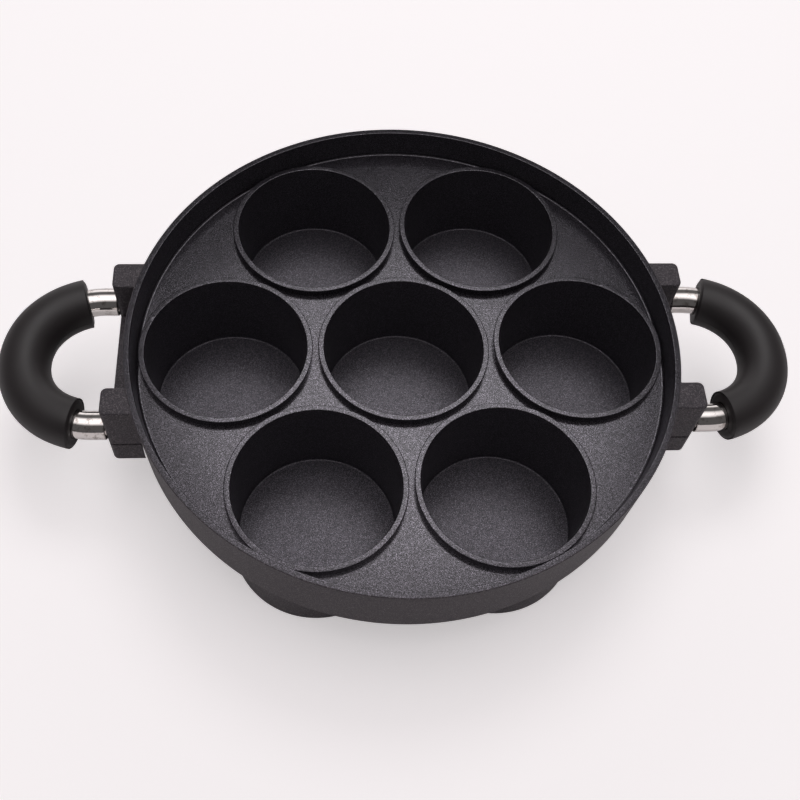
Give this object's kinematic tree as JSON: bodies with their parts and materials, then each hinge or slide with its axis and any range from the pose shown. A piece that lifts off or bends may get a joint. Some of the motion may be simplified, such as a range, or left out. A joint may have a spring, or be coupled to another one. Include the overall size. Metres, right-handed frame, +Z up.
{
  "type": "multi-cup stovetop pan",
  "caption": "Round cast pan with flat-bottomed straight-walled cups in a shallow tray and a U-shaped handle with a black grip on each side, for frying round cakes or eggs on a stove.",
  "frame": {"origin": "on the pan's axis, on the surface that the cups' feet stand on", "axes": "+X through the right-hand handle, +Y away from the viewer, towards the rear cups, +Z up"},
  "size_m": [0.352, 0.24, 0.065],
  "materials": {
    "coating": "die-cast aluminium with a charcoal non-stick coating with fine metallic flakes",
    "chrome": "bright chromed steel bar",
    "phenolic": "satin black moulded phenolic",
    "zinc": "zinc-plated steel"
  },
  "bodies": {
    "root": {"pan_casting": "coating", "handle_bar_left": "chrome", "grip_upper_left": "phenolic", "grip_lower_left": "phenolic", "lug_cap_left_front": "coating", "grip_screw_left_front": "zinc", "lug_washer_left_front": "zinc", "lug_screw_left_front": "zinc", "lug_cap_left_rear": "coating", "grip_screw_left_rear": "zinc", "lug_washer_left_rear": "zinc", "lug_screw_left_rear": "zinc", "handle_bar_right": "chrome", "grip_upper_right": "phenolic", "grip_lower_right": "phenolic", "lug_cap_right_front": "coating", "grip_screw_right_front": "zinc", "lug_washer_right_front": "zinc", "lug_screw_right_front": "zinc", "lug_cap_right_rear": "coating", "grip_screw_right_rear": "zinc", "lug_washer_right_rear": "zinc", "lug_screw_right_rear": "zinc"}
  },
  "joints": []
}
